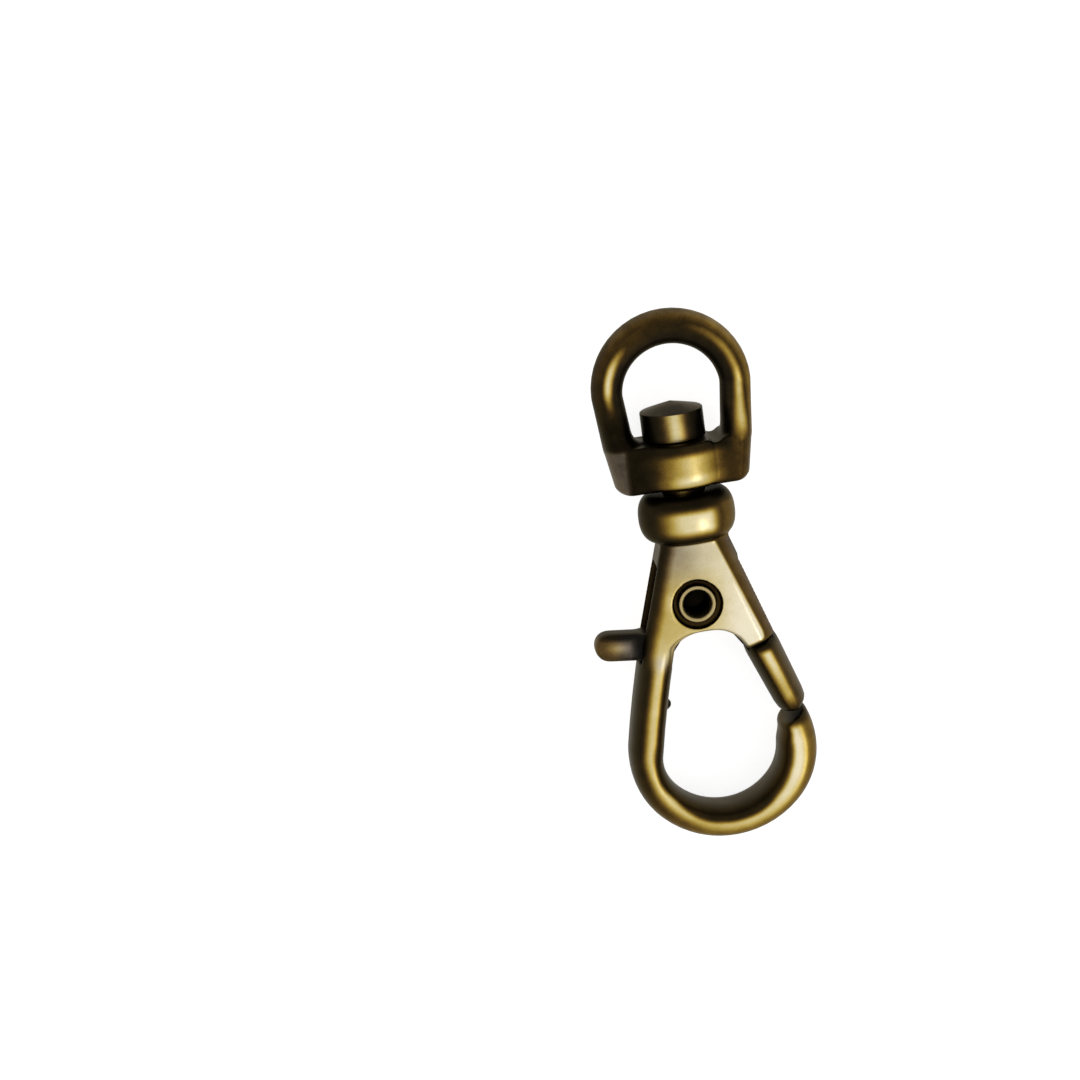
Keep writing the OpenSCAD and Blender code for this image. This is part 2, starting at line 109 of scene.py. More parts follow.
# The camera, as the photograph was taken: sizes in pixels of its 1080 by 1080 frame
PHOTO_PX = 1080
RIVET_PX = (698.0, 605.0)
MM_PER_PX = 0.0694
CAMERA_DISTANCE = 0.35
VIEW_TILT = 14.5
VIEW_ROLL = 5.3
AXIS_LEAN = 7.1
SENSOR_MM = 36.0
CHEEK_FACE = 0.765


def place_camera():
    """The camera stands off the rivet's front, tilted towards the eye and rolled to the left side."""
    tilt, roll, lean = (math.radians(a) for a in (VIEW_TILT, VIEW_ROLL, AXIS_LEAN))
    rivet = Vector((PIVOT[0] * MM, PIVOT[1] * MM, HOOK_HIGH[2] * CHEEK_FACE * MM))
    back = Vector((-math.sin(roll), math.sin(tilt) * math.cos(roll), math.cos(tilt) * math.cos(roll)))
    along = (Vector((0, 1, 0)) - back * back.y).normalized()
    across = along.cross(back)
    up = along * math.cos(lean) + across * math.sin(lean)
    right = up.cross(back)
    shift_x = (RIVET_PX[0] - PHOTO_PX / 2) * MM_PER_PX * MM
    shift_y = (RIVET_PX[1] - PHOTO_PX / 2) * MM_PER_PX * MM
    place = rivet + back * CAMERA_DISTANCE
    aim = rivet - right * shift_x + up * shift_y
    view = (place - aim).normalized()
    side = up.cross(view).normalized()
    data = bpy.data.cameras.new("camera")
    data.sensor_width = SENSOR_MM
    data.lens = SENSOR_MM * CAMERA_DISTANCE / (PHOTO_PX * MM_PER_PX * MM)
    data.clip_start = 0.01
    camera = bpy.data.objects.new("camera", data)
    bpy.context.scene.collection.objects.link(camera)
    camera.location = place
    camera.rotation_mode = "QUATERNION"
    camera.rotation_quaternion = Matrix((side, view.cross(side), view)).transposed().to_quaternion()
    bpy.context.scene.camera = camera


# ---- Mesh helpers


def rise(x, low, high):
    """0 below low, 1 above high, and the smooth step 3 s^2 - 2 s^3 between them."""
    s = np.clip((x - low) / (high - low), 0, 1)
    return s * s * (3 - 2 * s)


def new_piece(name, points, faces):
    """A smooth mesh object at the origin, from points in millimetres."""
    mesh = bpy.data.meshes.new(name)
    mesh.from_pydata(points * MM, [], faces)
    mesh.update()
    mesh.polygons.foreach_set("use_smooth", np.ones(len(mesh.polygons), bool))
    piece = bpy.data.objects.new(name, mesh)
    bpy.context.scene.collection.objects.link(piece)
    return piece


def finish_piece(piece, node, material, body=None):
    """The piece stands for its solid, rides on the given body if there is one, and takes its finish."""
    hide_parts(node)
    if body:
        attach(piece, body)
    piece.data.materials.append(material)


def points_of(mesh):
    """The points of a mesh in millimetres, one row each."""
    flat = np.empty(len(mesh.vertices) * 3)
    mesh.vertices.foreach_get("co", flat)
    return flat.reshape(-1, 3) / MM


def normals_of(mesh):
    """The normals at the points of a mesh, one row each."""
    flat = np.empty(len(mesh.vertices) * 3)
    mesh.vertex_normals.foreach_get("vector", flat)
    return flat.reshape(-1, 3)


def edges_of(mesh):
    """The two ends of each edge of a mesh, as rows of point numbers."""
    flat = np.empty(len(mesh.edges) * 2, dtype=np.int32)
    mesh.edges.foreach_get("vertices", flat)
    return flat.reshape(-1, 2)


def eased(values, edges, passes, share=0.5):
    """In each pass every row moves by a share of the way to the mean of its neighbours."""
    count = np.bincount(edges.ravel(), minlength=len(values))
    share = np.broadcast_to(share, len(values))[:, None]
    for _ in range(passes):
        mean = np.empty_like(values)
        for k in range(values.shape[1]):
            column = values[:, k]
            total = np.bincount(edges[:, 0], column[edges[:, 1]], len(values))
            mean[:, k] = (total + np.bincount(edges[:, 1], column[edges[:, 0]], len(values))) / count
        values = values + share * (mean - values)
    return values


def skin(name, node, voxel, passes, soft=None, soft_passes=0):
    """The skin of a casting: its solid remade from voxels, with every edge eased as tumbling does.

    soft gives from the points the share of the extra easing that each one gets.
    """
    work = bmesh.new()
    work.from_mesh(frame["nodes"][node].data)
    bmesh.ops.remove_doubles(work, verts=work.verts, dist=1e-7)
    bmesh.ops.scale(work, vec=(1 / MM, 1 / MM, 1 / MM), verts=work.verts)
    solid = bpy.data.meshes.new(name + "_solid")
    work.to_mesh(solid)
    work.free()
    holder = bpy.data.objects.new(name + "_solid", solid)
    bpy.context.scene.collection.objects.link(holder)
    remesh = holder.modifiers.new("remesh", "REMESH")
    remesh.mode = "VOXEL"
    remesh.voxel_size = voxel
    fine = bpy.data.meshes.new_from_object(holder.evaluated_get(bpy.context.evaluated_depsgraph_get()))
    bpy.data.objects.remove(holder)
    bpy.data.meshes.remove(solid)
    fine.name = name
    # The copy that was remade holds its points in plain millimetres
    edges = edges_of(fine)
    points = eased(points_of(fine) * MM, edges, passes)
    if soft:
        points = eased(points, edges, soft_passes, 0.5 * soft(points))
    fine.vertices.foreach_set("co", (points * MM).ravel())
    fine.polygons.foreach_set("use_smooth", np.ones(len(fine.polygons), bool))
    fine.update()
    piece = bpy.data.objects.new(name, fine)
    bpy.context.scene.collection.objects.link(piece)
    return piece


def ring_faces(rows, columns):
    """Quads between neighbouring closed rows of points, then a fan at each end to its pole.

    The points are the rows one after another, then the first pole and the last pole.
    """
    row, column = np.meshgrid(np.arange(rows - 1), np.arange(columns), indexing="ij")
    beside = (column + 1) % columns
    first = row * columns
    above = first + columns
    quads = np.stack([first + column, first + beside, above + beside, above + column], -1)
    around = np.arange(columns)
    last = (rows - 1) * columns
    pole = np.full(columns, rows * columns)
    start = np.stack([(around + 1) % columns, around, pole], -1)
    end = np.stack([last + around, last + (around + 1) % columns, pole + 1], -1)
    return quads.reshape(-1, 4).tolist() + start.tolist() + end.tolist()


def softened(profile, radius, steps=5):
    """A profile with each inner corner replaced by a curve of the given reach.

    The curve is the quadratic one from a point before the corner, bent by the corner, to one after it.
    """
    before, corner, after = profile[:-2], profile[1:-1], profile[2:]
    back, on = before - corner, after - corner
    back_length = np.linalg.norm(back, axis=1, keepdims=True)
    on_length = np.linalg.norm(on, axis=1, keepdims=True)
    start = corner + back * np.minimum(radius / back_length, 0.45)
    end = corner + on * np.minimum(radius / on_length, 0.45)
    t = np.linspace(0, 1, steps)[None, :, None]
    curve = start[:, None] * (1 - t) ** 2 + corner[:, None] * 2 * t * (1 - t) + end[:, None] * t**2
    return np.concatenate([profile[:1], curve.reshape(-1, 2), profile[-1:]])


def turned(name, profile, place, columns=96):
    """A turned piece: each profile point (r, h) runs once round its axis, as a ring of radius r.

    place moves points of the turning frame (x across, y along the axis, z towards the viewer) into the
    part's frame. The profile starts and ends on the axis.
    """
    angle = np.linspace(0, 2 * np.pi, columns, endpoint=False)
    inner = profile[1:-1]
    ring = np.stack([np.sin(angle), np.zeros(columns), np.cos(angle)], -1)
    rings = inner[:, None, :1] * ring + inner[:, None, 1:] * np.array([0.0, 1.0, 0.0])
    poles = np.stack([np.zeros(2), profile[[0, -1], 1], np.zeros(2)], -1)
    points = np.concatenate([rings.reshape(-1, 3), poles])
    return new_piece(name, place(points), ring_faces(len(inner), columns))


def set_shine_and_dull(piece, shine_and_dull_at):
    """Stores at each point its shine and how far its colour has gone dull and grey.

    Shine runs from 0 for full patina or painted shade to 1 for bare brass or painted highlight, and the
    given function gives both from the points and the blurred normals. On the sides the grey of dull
    stands for painted reflection.
    """
    mesh = piece.data
    points = points_of(mesh)
    normals = eased(normals_of(mesh), edges_of(mesh), 2)
    normals /= np.linalg.norm(normals, axis=1, keepdims=True)
    for name, values in zip(("shine", "dull"), shine_and_dull_at(points, normals)):
        values = np.clip(np.broadcast_to(values, len(points)), 0, 1).astype(np.float32)
        mesh.attributes.new(name, "FLOAT", "POINT").data.foreach_set("value", values)


# ---- Finishes


def math_node(tree, operation, a, b, clamp=False):
    """A Math node of two inputs, each a number or an output of another node."""
    node = tree.nodes.new("ShaderNodeMath")
    node.operation = operation
    node.use_clamp = clamp
    for socket, value in zip(node.inputs, (a, b)):
        if isinstance(value, (int, float)):
            socket.default_value = value
        else:
            tree.links.new(value, socket)
    return node.outputs[0]


def noise_node(tree, vector, scale, detail, roughness):
    """A Noise Texture's value on the given coordinates."""
    node = tree.nodes.new("ShaderNodeTexNoise")
    node.inputs["Scale"].default_value = scale
    node.inputs["Detail"].default_value = detail
    node.inputs["Roughness"].default_value = roughness
    tree.links.new(vector, node.inputs["Vector"])
    return node.outputs["Fac"]


def build_patina_group():
    """The antique finish: patina left in the hollows, brass rubbed bare on the faces and edges.

    The measure is the shine of the surface, which holds wear and also painted highlight and shade,
    moved by broad mottling and fine grain. It runs through a ramp from nearly black brown over olive
    and gold to pale bare brass, whose palest end also serves for painted highlights. Dull mixes the
    colour towards its grey, which on the sides stands for painted reflection.
    """
    group = bpy.data.node_groups.new("antique_patina", "ShaderNodeTree")
    face = group.interface
    for name, kind, value in (
        ("Coordinates", "NodeSocketVector", None),
        ("Shine", "NodeSocketFloat", 0.5),
        ("Dull", "NodeSocketFloat", 0.0),
        ("Mottling", "NodeSocketFloat", 0.2),
        ("Grain", "NodeSocketFloat", 0.1),
    ):
        socket = face.new_socket(name, in_out="INPUT", socket_type=kind)
        if value is not None:
            socket.default_value = value
    face.new_socket("Color", in_out="OUTPUT", socket_type="NodeSocketColor")
    for name in ("Roughness", "Height"):
        face.new_socket(name, in_out="OUTPUT", socket_type="NodeSocketFloat")
    given = group.nodes.new("NodeGroupInput")
    result = group.nodes.new("NodeGroupOutput")
    broad = noise_node(group, given.outputs["Coordinates"], 900, 3, 0.55)
    grain = noise_node(group, given.outputs["Coordinates"], 9000, 2, 0.6)
    broad_move, grain_move = (
        math_node(group, "MULTIPLY", math_node(group, "SUBTRACT", noise, 0.5), given.outputs[reach])
        for noise, reach in ((broad, "Mottling"), (grain, "Grain"))
    )
    moved = math_node(group, "ADD", broad_move, grain_move)
    # Shine with mottling: wear together with painted highlight and shade
    worn_and_lit = math_node(group, "ADD", given.outputs["Shine"], moved, clamp=True)
    ramp = group.nodes.new("ShaderNodeValToRGB")
    stops = (
        (0.0, (0.007, 0.005, 0.0025)),
        (0.12, (0.017, 0.012, 0.005)),
        (0.25, (0.042, 0.024, 0.0065)),
        (0.38, (0.110, 0.063, 0.0135)),
        (0.52, (0.235, 0.146, 0.024)),
        (0.68, (0.440, 0.315, 0.070)),
        (0.84, (0.620, 0.510, 0.230)),
        (1.0, (0.820, 0.730, 0.500)),
    )
    for place, _ in stops[1:-1]:
        ramp.color_ramp.elements.new(place)
    for element, (place, colour) in zip(ramp.color_ramp.elements, stops):
        element.position = place
        element.color = (*colour, 1)
    group.links.new(worn_and_lit, ramp.inputs["Fac"])
    grey = group.nodes.new("ShaderNodeRGBToBW")
    group.links.new(ramp.outputs["Color"], grey.inputs["Color"])
    mix = group.nodes.new("ShaderNodeMix")
    mix.data_type = "RGBA"
    group.links.new(given.outputs["Dull"], mix.inputs["Factor"])
    group.links.new(ramp.outputs["Color"], mix.inputs["A"])
    group.links.new(grey.outputs["Val"], mix.inputs["B"])
    group.links.new(mix.outputs["Result"], result.inputs["Color"])
    rough = math_node(group, "SUBTRACT", 0.42, math_node(group, "MULTIPLY", worn_and_lit, 0.12))
    rough = math_node(group, "ADD", rough, math_node(group, "MULTIPLY", broad_move, 0.3))
    group.links.new(rough, result.inputs["Roughness"])
    height = math_node(group, "ADD", broad, math_node(group, "MULTIPLY", grain, 0.25))
    group.links.new(height, result.inputs["Height"])
    return group


def antique_brass(name, group, mottling, grain, relief):
    """One piece's antique brass: the patina group on its shine and dull, with a slight cast relief."""
    material = bpy.data.materials.new(name)
    material.use_nodes = True
    tree = material.node_tree
    metal = tree.nodes["Principled BSDF"]
    metal.inputs["Metallic"].default_value = 1.0
    metal.inputs["Specular Tint"].default_value = (0.66, 0.63, 0.56, 1)
    place = tree.nodes.new("ShaderNodeTexCoord")
    patina = tree.nodes.new("ShaderNodeGroup")
    patina.node_tree = group
    for measure in ("shine", "dull"):
        attribute = tree.nodes.new("ShaderNodeAttribute")
        attribute.attribute_name = measure
        tree.links.new(attribute.outputs["Fac"], patina.inputs[measure.title()])
    patina.inputs["Mottling"].default_value = mottling
    patina.inputs["Grain"].default_value = grain
    bump = tree.nodes.new("ShaderNodeBump")
    bump.inputs["Strength"].default_value = relief
    bump.inputs["Distance"].default_value = 0.00004
    tree.links.new(place.outputs["Object"], patina.inputs["Coordinates"])
    tree.links.new(patina.outputs["Color"], metal.inputs["Base Color"])
    tree.links.new(patina.outputs["Roughness"], metal.inputs["Roughness"])
    tree.links.new(patina.outputs["Height"], bump.inputs["Height"])
    tree.links.new(bump.outputs["Normal"], metal.inputs["Normal"])
    return material


# ---- Where each form is rubbed, dull, or painted with highlight and shade
#
# These formulas give the shine and the dull that each piece stores, each from 0 to 1: worn brass and
# patina together with painted highlights, painted shade and, in the grey of dull, painted reflection.
# Places are in millimetres in the part's frame, angles in degrees, and "across" runs from 0 to 1 over a
# form's width.


def band(x, low, high, soft):
    """1 between low and high and 0 beyond, with smooth edges of twice the soft width."""
    return rise(x, low - soft, low + soft) * (1 - rise(x, high - soft, high + soft))


def hill(x, middle, width):
    """The bell exp(-((x - middle) / width)^2)."""
    return np.exp(-(((x - middle) / width) ** 2))


def mixed(a, b, share):
    """The blend a + (b - a) share."""
    return a + (b - a) * share


def rod_place(x, y):
    """The angle round the bow, below -180 on the spine, and the place across the rod, 1 inside.

    The rod's middle is an arc on each side, a flatter arc at the bottom and the spine's long arc.
    """
    angle = np.degrees(np.arctan2(y, x - BOW_SIDE))
    angle = np.where(angle > 100, angle - 360, angle)
    swell = 0.22 * rise(angle, -95, -5)
    from_left = np.hypot(x - (BOW_SIDE - BOW_HALF_W + SIDE_R), y) - SIDE_R
    from_right = np.hypot(x - (BOW_SIDE + BOW_HALF_W - SIDE_R), y) - SIDE_R
    from_bottom = np.hypot(x - BOW_SIDE, y - ARC_STEP * math.sqrt(0.5)) - BOTTOM_R
    from_spine = np.hypot(x - SPINE_CENTRE[0], y - SPINE_CENTRE[1]) - SPINE_R
    out = np.where(angle > -45, from_right, np.where(angle > -135, from_bottom, from_left))
    out = np.where((y > 0.8) & (x < BOW_SIDE), from_spine, out)
    half = ROD_HALF + swell
    return angle, (half - out) / (2 * half)


def bow_wear_and_light(x, y, z):
    """A painted highlight strip along the rod, soft outside and sharp inside, palest near the nose, over
    walls dark with patina and painted shade and greyed as painted reflection.
    """
    angle, across = rod_place(x, y)
    outside = 0.1 + 0.3 * rise(angle, -200, -100)
    peak = 0.83 + 0.16 * rise(angle, -70, -10) - 0.09 * hill(angle, -108, 20)
    nose = rise(angle, 13, 22)
    peak, outside = mixed(peak, 0.03, nose), mixed(outside, 0.1, nose)
    start = 0.36 + 0.11 * band(angle, -178, -115, 14)
    end = 0.66 + 0.1 * hill(angle, -148, 13) - 0.05 * band(angle, -122, -55, 12)
    end = end + 0.03 * hill(angle, -22, 20) - 0.03 * hill(angle, -190, 8) - 0.05 * rise(angle, 4, 14)
    # The strip across the rod's front is a painted highlight
    shine = mixed(outside, peak, rise(across, start - 0.17, start + 0.17))
    lip = 0.22 - 0.09 * band(angle, -120, -40, 15)
    wall = mixed(0.25, lip, rise(np.abs(z), 0.8, 2.0))
    inside = rise(across, end - 0.09, end + 0.1)
    dull = 0.6 * rise(across, 0.85, 0.97) * (1 - rise(np.abs(z), 0.9, 2.1))
    dull = dull + 0.25 * (1 - rise(across, 0.02, 0.12))
    return mixed(shine, wall, inside), dull


def along_arm(x, y):
    """How far a place lies from the pivot in the direction of the gate's arm."""
    return (x - PIVOT[0]) * math.sin(RIGHT_LEAN) - (y - PIVOT[1]) * math.cos(RIGHT_LEAN)


def inside_right_edge(x, y):
    """How far a place lies to the left of the straight right edge of the cheeks and the gate."""
    return CHEEK_RIGHT + (CHEEK_TOP - y) * math.tan(RIGHT_LEAN) - x


def cheek_wear_and_light(x, y, facing):
    """Cheek faces rubbed bright under a painted highlight palest at the lower right, a left flank dark
    with painted shade, and a dull grey right side of painted reflection.
    """
    spine_out = SPINE_R + ROD_HALF + 0.05
    on_arc = np.minimum(y, SPINE_TOP_Y) - SPINE_CENTRE[1]
    arc_edge = SPINE_CENTRE[0] - np.sqrt(spine_out**2 - on_arc**2)
    from_left = x - arc_edge - np.maximum(y - SPINE_TOP_Y, 0) * SPINE_LEAN
    from_right = inside_right_edge(x, y)
    face = 0.66 + 0.3 * rise(x, -2.2, 3.1) + 0.1 * hill(x, 3.2, 1.2) * (1 - rise(y, 8.5, 11))
    face = face + (0.16 - 0.16 * rise(y, 8, 11.5) - 0.06 * rise(y, 13, 15.2)) * (1 - rise(x, -1.8, 1.5))
    face = face + 0.14 * hill(y, 11.6, 1.1) * hill(x, -2.1, 0.7)
    flank = rise(from_left, 0.05, 1.2)
    open_front = np.maximum(rise(facing, 0.15, 0.65), 1 - rise(from_left, 0.8, 1.2))
    front = mixed(0.22, mixed(0.04, face, flank), open_front)
    side = 0.41 - 0.12 * rise(from_right, 0.1, 0.9)
    edge_at = 0.86 + 0.036 * (y - 9) + 0.3 * (1 - rise(y, 7.6, 8.8))
    edge = rise(from_right - edge_at, -0.13, 0.13)
    # Painted shade where the cheeks' lower ends meet the gate's arm
    front = mixed(front, 0.15, rise(along_arm(x, y), 4.15, 4.5))
    dull = 0.2 * np.maximum(rise(y, 12, 14.5), 0.8 * rise(x, 0.3, 2.2))
    dull = (dull + 0.34 * rise(y, 11.5, 15.5) * (1 - rise(x, -1.0, 2.2))) * flank
    return mixed(side, front, edge), mixed(0.62 * (1 - rise(from_right, 0.0, 0.8)), dull, edge)


def collar_wear_and_light(x, y, z):
    """A collar with a painted pale reflection on the front of its belly and painted shade on its
    shoulders.
    """
    around, height = np.degrees(np.arctan2(x, np.abs(z))), y - CHEEK_TOP
    # The pale patch is a painted reflection, and the dark shoulders are painted shade
    patch = mixed(rise(around, -52, -6), 0.9, 0.12) * (1 - rise(around, 22, 41))
    patch = patch * rise(height, 0.25, 1.25) * (1 - rise(height, 2.1, 2.85)) * rise(around, -60, -40)
    rest = 0.05 + 0.32 * rise(around, 15, 55) * (1 - rise(height, 2.4, 3.1))
    return mixed(rest, 0.93, patch), 0.2 * rise(around, 45, 75)


def hook_wear_and_light(points, normals):
    """The bow and spine, the cheeks above them, and the collar on top."""
    x, y, z = points.T
    bow, bow_dull = bow_wear_and_light(x, y, z)
    cheek, cheek_dull = cheek_wear_and_light(x, y, np.abs(normals[:, 2]))
    high = rise(y, 6.4, 8.2)
    shine, dull = mixed(bow, cheek, high), mixed(bow_dull, cheek_dull, high)
    collar, collar_dull = collar_wear_and_light(x, y, z)
    top = rise(y, CHEEK_TOP - 0.12, CHEEK_TOP + 0.1)
    shine, dull = mixed(shine, collar, top), mixed(dull, collar_dull, top)
    dull = dull + 0.5 * hill(np.hypot(x + 3.2, y - 7.4), 0, 0.6)
    # The rivet's recess is darkened, and the dark inside the slot between the cheeks is painted shade
    from_pivot = np.hypot(x - PIVOT[0], y - PIVOT[1])
    recess = (1 - rise(from_pivot, 1.68, 1.82)) * rise(from_pivot, 0.2, 0.3)
    slot = 1 - rise(np.abs(z), 1.27, 1.36)
    slot = slot * (y > PIVOT[1] - 2) * (y < CHEEK_TOP)
    return mixed(shine, 0.2, np.maximum(recess, slot)), dull * (1 - recess)


def tab_wear_and_light(x, y):
    """A brown thumb tab with a painted grey highlight along its middle, and painted shade at its root
    and along its upper edge.
    """
    over = y - TAB_MIDDLE[1] + (x - TAB_MIDDLE[0]) * math.tan(TAB_RISE)
    # The lighter middle is a painted highlight; the dark root and upper edge are painted shade
    worn_and_lit = 0.3 + 0.3 * hill(x, -5.9, 0.9) * hill(over, 0.1, 0.45)
    dark = np.maximum(rise(x, -5.3, -4.5), 0.8 * rise(over, 0.45, 0.85))
    return mixed(worn_and_lit, 0.04, dark), 0.12 + 0.6 * rise(x, -6.8, -5.0)


def gate_wear_and_light(points, normals):
    """A narrow painted highlight strip down the gate's arm, a dull grey outer side of painted
    reflection, and painted shade at both ends of the arm.
    """
    x, y, _ = points.T
    along = along_arm(x, y)
    width = ARM_W - ARM_TAPER * (along - ARM_FOOT)
    across = inside_right_edge(x, y) * math.cos(RIGHT_LEAN) / width
    rest = mixed(0.35, 0.23, rise(across, 0.02, 0.3)) - 0.14 * rise(across, 0.7, 0.85)
    # Painted shade at the arm's upper end under the cheeks and at its tip by the nose
    rest = mixed(0.04, rest, rise(along, 4.75, 5.4)) * (1 - 0.5 * rise(along, 9.6, 10.2))
    strip = rise(across, 0.26, 0.47) * (1 - rise(across, 0.5, 0.79))
    strip = strip * rise(along + 2 * (across - 0.45) ** 2, 5.0, 5.5) * (1 - rise(along, 8.7, 9.9))
    shine = mixed(rest, 0.94 - 0.2 * rise(along, 5.9, 8), strip)
    dull = 0.62 * (1 - rise(across, 0.0, 0.26)) + 0.3 * rise(across, 0.85, 0.97)
    tab, tab_dull = tab_wear_and_light(x, y)
    left = x < -3.2
    return np.where(left, tab, shine), np.where(left, tab_dull, dull)


def loop_wear_and_light(x, y, z):
    """A loop dark with patina, with a painted highlight streak down the front of each leg, and dull grey
    sides of painted reflection.

    around is the angle round the rod, 0 in front and 90 outside, and arch the angle round the loop.
    """
    high = np.maximum(y - ARCH_Y, 0)
    outwards = np.hypot(x, high) + LEG_LEAN * np.maximum(ARCH_Y - y, 0) - LOOP_R
    around = np.degrees(np.arctan2(outwards, np.abs(z)))
    arch = np.degrees(np.arctan2(high, x))
    # The streaks down the legs are painted highlights
    right = mixed(0.88, 0.58, rise(arch, -10, 20)) * (1 - rise(arch, 20, 110)) * (x > 0)
    right = right * hill(around, 6, 19) * rise(y, BASE_TOP - 1.6, BASE_TOP + 1.2)
    left = 0.93 * rise(arch, 112, 162) * (x < 0)
    left = left * hill(around, 1, 17) * rise(y, ARCH_Y - 1.9, ARCH_Y + 0.9)
    outer = (0.15 + 0.15 * (1 - rise(arch, 50, 90)) - 0.08 * rise(arch, 110, 170)) * rise(around, 6, 50)
    inner = 0.11 + 0.05 * rise(around, -40, 10) * rise(high, 0.5, 3)
    inner = inner + 0.07 * hill(arch, 125, 20) * (around < 20)
    dark = (inner + outer) * mixed(1, rise(y, BASE_TOP + 0.3, ARCH_Y), x < 0)
    dull = 0.35 * rise(around, 35, 70) * rise(arch, -10, 40) + 0.3 * (1 - rise(around, -50, -5))
    return np.maximum(dark, np.maximum(right, left)), dull


def base_wear_and_light(x, y):
    """A base with a painted gold highlight in the middle of its front, palest along its bevel, and a
    dull grey left end of painted reflection.
    """
    height = y - EYE_LOW[1]
    # The gold patch and the pale bevel are a painted highlight
    middle = rise(x, -2.9, 0.3) * (1 - 0.8 * rise(x, 0.7, 3.3))
    level = rise(height, -0.1, 0.5) * (1 - rise(height, 2.3, 2.95))
    peak = 0.76 + 0.17 * hill(height, 0.8, 0.35)
    left_end = 1 - rise(x, -4.1, -3.6)
    right_end = rise(x, 3.2, 3.9)
    rest = 0.04 + 0.3 * left_end + 0.2 * right_end + 0.1 * middle * (height > 0.3)
    return mixed(rest, peak, middle * level * (1 - right_end)), 0.6 * left_end


def eye_wear_and_light(points, normals):
    """The loop over the base, with the base's upper side and the legs' feet black with patina and
    painted shade.
    """
    x, y, z = points.T
    loop, loop_dull = loop_wear_and_light(x, y, z)
    base, base_dull = base_wear_and_light(x, y)
    under = 1 - rise(y, BASE_TOP - 0.25, BASE_TOP + 0.1)
    base = np.maximum(base, loop * rise(x, 2.5, 3.6))
    shine, dull = mixed(loop, base, under), mixed(loop_dull, base_dull, under)
    # Patina and painted shade under the stud's head and at the legs' feet
    ledge = rise(normals[:, 1], 0.4, 0.8) * (y < ARCH_Y - 1) * (np.abs(x) < 3.6)
    feet = (1 - rise(y, BASE_TOP + 0.7, BASE_TOP + 1.9)) * (y > BASE_TOP)
    feet = feet * (1 - rise(np.abs(x), 3.0, 3.7))
    dark = np.maximum(ledge, feet)
    return mixed(shine, 0.0, dark), dull * (1 - dark)


def stud_wear_and_light(points, normals):
    """A dark head with one narrow painted highlight in front, carried onto the shank, and a dull grey
    end.
    """
    around = np.degrees(np.arctan2(points[:, 0] - HEAD_SIDE, np.abs(points[:, 2])))
    # The narrow patch is a painted highlight
    side = 0.05 + 0.8 * hill(around, -1, 19) * mixed(1, 0.75, points[:, 1] < BASE_TOP)
    end = rise(normals[:, 1], 0.4, 0.8)
    return mixed(side, 0.24 + 0.06 * rise(around, 20, 80), end), mixed(0.1, 0.7, end)


def rivet_finish(points, normals):
    """A bare rolled rim round a black hollow, and a rubbed head at the back."""
    from_pivot = np.hypot(points[:, 0] - PIVOT[0], points[:, 1] - PIVOT[1])
    rim = band(from_pivot, 0.95, 1.3, 0.04) * rise(points[:, 2], 1.5, 2.2)
    return 0.68 * rim + 0.5 * (points[:, 2] < -2), 0.3


# ---- Pieces


def make_rivet(material):
    """The half hollow rivet, turned about the pivot: low head, shank, rolled rim and blind hollow."""
    rim, shank = (RIVET_HIGH[0] - RIVET_LOW[0]) / 2, 1.2
    head, head_h = rim - 0.02, 0.47
    hollow, lip = rim - 0.4, 0.2
    top, foot = RIVET_HIGH[2], RIVET_LOW[2]
    profile = np.array([
        [0, foot], [rim - 0.2, foot], [head, foot + 0.2], [head, foot + head_h], [shank, foot + head_h],
        [shank, top - head_h], [head, top - head_h], [rim, top - lip], [rim - lip, top],
        [hollow, top - lip], [hollow, -0.6], [0, -0.9],
    ])

    def place(points):
        """The turning axis is laid along the part's z."""
        return np.stack([points[:, 0] + PIVOT[0], points[:, 2] * -1 + PIVOT[1], points[:, 1]], -1)

    piece = turned("rivet", softened(profile, 0.16), place)
    set_shine_and_dull(piece, rivet_finish)
    finish_piece(piece, "pivot_rivet", material, "hook")


def make_stud(material):
    """The swivel stud, turned about its axis: shank, riveted head off to one side, cone on top."""
    low, top = STUD_LOW[1], STUD_HIGH[1]
    head_r, head_h, cone = 2.2, 2.0, 0.6
    seat = top - cone - head_h
    profile = np.array([
        [0, low], [1.25, low], [1.45, low + 0.2], [1.45, seat - 0.05], [1.5, seat], [head_r, seat],
        [head_r, top - cone - 0.02], [1.1, top - cone / 2], [0, top],
    ])

    def place(points):
        """Above the seat the rings move sideways onto the head's own centre."""
        shift = HEAD_SIDE * rise(points[:, 1], seat - 0.04, seat - 0.01)
        return points + np.stack([shift, 0 * shift, 0 * shift], -1)

    piece = turned("stud", softened(profile, 0.07), place)
    set_shine_and_dull(piece, stud_wear_and_light)
    finish_piece(piece, "swivel_stud", material, "hook")


